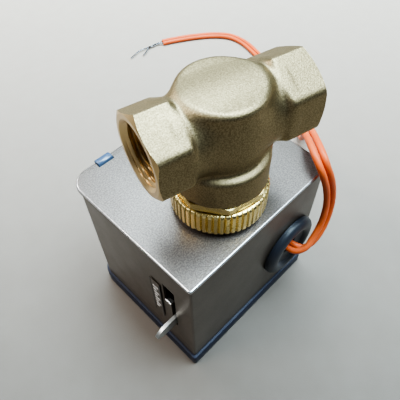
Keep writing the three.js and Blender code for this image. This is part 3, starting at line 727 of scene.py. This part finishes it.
def conductor(name, end, side, after, node):
    """A stripped end that winds round its neighbour and then goes its own way.
    Its strands lie round one another."""
    along = TWIST_TO - TWIST_FROM
    across = along.cross(Vector((0, 0, 1))).normalized()
    knots = [end]
    for i in range(9):
        turn = side * math.pi / 2 + i * math.pi / 4
        knots.append(TWIST_FROM + along * (i / 8)
                     + across * (math.sin(turn) * 0.5) + Vector((0, 0, math.cos(turn) * 0.5)))
    path = smooth_path(knots + [Vector((x, y, 1.15)) for x, y in after], 6)
    verts, faces = [], []
    for k in range(STRANDS):
        orbit = 0.0 if k == 0 else STRAND_ORBIT
        rings = tube(path, STRAND_R, STRAND_SIDES, start=k * math.pi / 3, orbit=orbit, twist=STRAND_TWIST)
        base_index = len(verts)
        for ring in rings:
            verts.extend(ring)
        for i in range(len(rings) - 1):
            row = base_index + i * STRAND_SIDES
            for j in range(STRAND_SIDES):
                a, b = row + j, row + (j + 1) % STRAND_SIDES
                faces.append((a, b, b + STRAND_SIDES, a + STRAND_SIDES))
        last = base_index + (len(rings) - 1) * STRAND_SIDES
        faces.append(tuple(base_index + j for j in range(STRAND_SIDES)))
        faces.append(tuple(last + j for j in reversed(range(STRAND_SIDES))))
    obj = mesh_object(name, [tuple(v) for v in verts], faces, 60)
    return place(obj, "case_and_valve", "lead_conductor", CONDUCTOR, node)


for name, side, after in CORES:
    points = lead_points(side)
    end = points[-1]
    inside = end - (end - points[-2]).normalized() * 1.5
    stub = conductor(name + "_strands", inside, side, after, name + "_core")
    curve = bpy.data.curves.new(name + "_look", "CURVE")
    curve.dimensions = "3D"
    curve.bevel_depth = LEAD_R * MM
    curve.bevel_resolution = 6
    curve.resolution_u = 10
    curve.use_fill_caps = True
    spline = curve.splines.new("BEZIER")
    kept = points[1:]
    spline.bezier_points.add(len(kept) - 1)
    for i, p in enumerate(kept):
        tangent = (kept[min(i + 1, len(kept) - 1)] - kept[max(i - 1, 0)]) / 6
        knot = spline.bezier_points[i]
        knot.handle_left_type = knot.handle_right_type = "FREE"
        knot.co = p * MM
        knot.handle_left = (p - tangent) * MM
        knot.handle_right = (p + tangent) * MM
    curve.materials.append(INSULATION)
    lead = bpy.data.objects.new(name + "_look", curve)
    bpy.context.scene.collection.objects.link(lead)
    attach(lead, "case_and_valve")
    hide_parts(name)

# ---- every CAD node that is still shown gets its finish ----
BY_SLOT = {
    "base_plastic": BASE, "sleeve_paint": SLEEVE, "plate_steel": PLATE, "cast_brass": CAST,
    "turned_brass": TURNED, "bright_steel": STEEL, "frame_steel": DULL_STEEL, "black_rubber": RUBBER,
    "black_bushing": BUSHING, "white_nylon": NYLON, "lead_insulation": INSULATION,
    "lead_conductor": CONDUCTOR, "coil_winding": WINDING, "rotor_magnet": MAGNET, "label_film": FILM,
}
for part in frame["record"]["subparts"]:
    node = frame["nodes"][part["node"]]
    node.data.materials.clear()
    node.data.materials.append(BY_SLOT[part["material_slot"]])

# ---- floor and light ----
FLOOR_REACH = 3000
floor_corners = [(x * FLOOR_REACH, y * FLOOR_REACH) for x, y in ((-1, -1), (1, -1), (1, 1), (-1, 1))]
floor = stacked("floor", [(floor_corners, -8), (floor_corners, 0)])
FLOOR = material("floor", (0.202, 0.167, 0.139), 0.0, 0.8, [(1500, 3, 0.03)], tint=(0.186, 0.153, 0.127))
floor.data.materials.append(FLOOR)
floor_nodes, floor_links = FLOOR.node_tree.nodes, FLOOR.node_tree.links
# Painted light: the floor's colour brightens with the distance along it, standing in for light that is
# stronger further back.
depth = floor_nodes.new("ShaderNodeVectorMath")
depth.operation = "DOT_PRODUCT"
depth.inputs[1].default_value = (0.70, 0.72, 0)
floor_links.new(floor_nodes.new("ShaderNodeTexCoord").outputs["Object"], depth.inputs[0])
painted_light_falloff = floor_nodes.new("ShaderNodeMapRange")
for socket, value in (("From Min", -0.05), ("From Max", 0.32), ("To Min", 0.56), ("To Max", 2.30)):
    painted_light_falloff.inputs[socket].default_value = value
floor_links.new(depth.outputs["Value"], painted_light_falloff.inputs["Value"])
scaled = floor_nodes.new("ShaderNodeVectorMath")
scaled.operation = "SCALE"
floor_shader = floor_nodes["Principled BSDF"]
floor_links.new(floor_shader.inputs["Base Color"].links[0].from_socket, scaled.inputs[0])
floor_links.new(painted_light_falloff.outputs["Result"], scaled.inputs["Scale"])
floor_links.new(scaled.outputs["Vector"], floor_shader.inputs["Base Color"])


def area_light(name, at, toward, size, power, color):
    data = bpy.data.lights.new(name, "AREA")
    data.shape = "RECTANGLE"
    data.size, data.size_y = size
    data.energy = power
    data.color = color
    obj = bpy.data.objects.new(name, data)
    obj.location = at
    obj.rotation_euler = (Vector(toward) - Vector(at)).to_track_quat("-Z", "Y").to_euler()
    bpy.context.scene.collection.objects.link(obj)


# name, place, what it points at, size, power and colour
for lamp in (
    ("key", (-0.10, 0.90, 0.72), (0, 0, 0.07), (0.30, 0.30), 6.5, (1.0, 0.98, 0.95)),
    ("window", (0.34, 0.20, 1.15), (0.34, 0.20, 0), (0.6, 1.1), 50, (0.76, 1.0, 1.14)),
    ("front", (0.28, -0.46, 1.08), (0, 0, 0.1), (0.6, 0.45), 13, (0.76, 1.0, 1.14)),
    ("panel", (0.95, 0.85, 1.08), (0, 0, 0.1), (0.7, 0.7), 3.5, (0.80, 1.0, 1.10)),
    ("port", (-0.58, 0.38, 0.95), (0, 0, 0.1), (0.35, 0.35), 8, (1.0, 0.98, 0.92)),
    ("side", (0.90, -0.64, 0.75), (0, 0, 0.1), (0.35, 0.35), 3.2, (0.85, 1.0, 1.08)),
    ("fill", (-1.3, -0.5, 0.6), (0, 0, 0.05), (0.9, 0.9), 0.8, (0.80, 0.86, 1.0)),
):
    area_light(*lamp)
bpy.context.scene.view_settings.look = "AgX - Medium High Contrast"
world = bpy.data.worlds.new("world")
bpy.context.scene.world = world
world.use_nodes = True
world_nodes, world_links = world.node_tree.nodes, world.node_tree.links
background = world_nodes["Background"]
facing = world_nodes.new("ShaderNodeVectorMath")
facing.operation = "DOT_PRODUCT"
facing.inputs[1].default_value = (-0.35, 0.45, 0.82)
world_links.new(world_nodes.new("ShaderNodeTexCoord").outputs["Generated"], facing.inputs[0])
sky = world_nodes.new("ShaderNodeValToRGB")
sky.color_ramp.elements[0].position = 0.0
sky.color_ramp.elements[0].color = (0.022, 0.019, 0.016, 1)
sky.color_ramp.elements[1].position = 1.0
sky.color_ramp.elements[1].color = (0.34, 0.35, 0.37, 1)
middle = sky.color_ramp.elements.new(0.55)
middle.color = (0.07, 0.07, 0.072, 1)
world_links.new(facing.outputs["Value"], sky.inputs["Fac"])
world_links.new(sky.outputs["Color"], background.inputs["Color"])
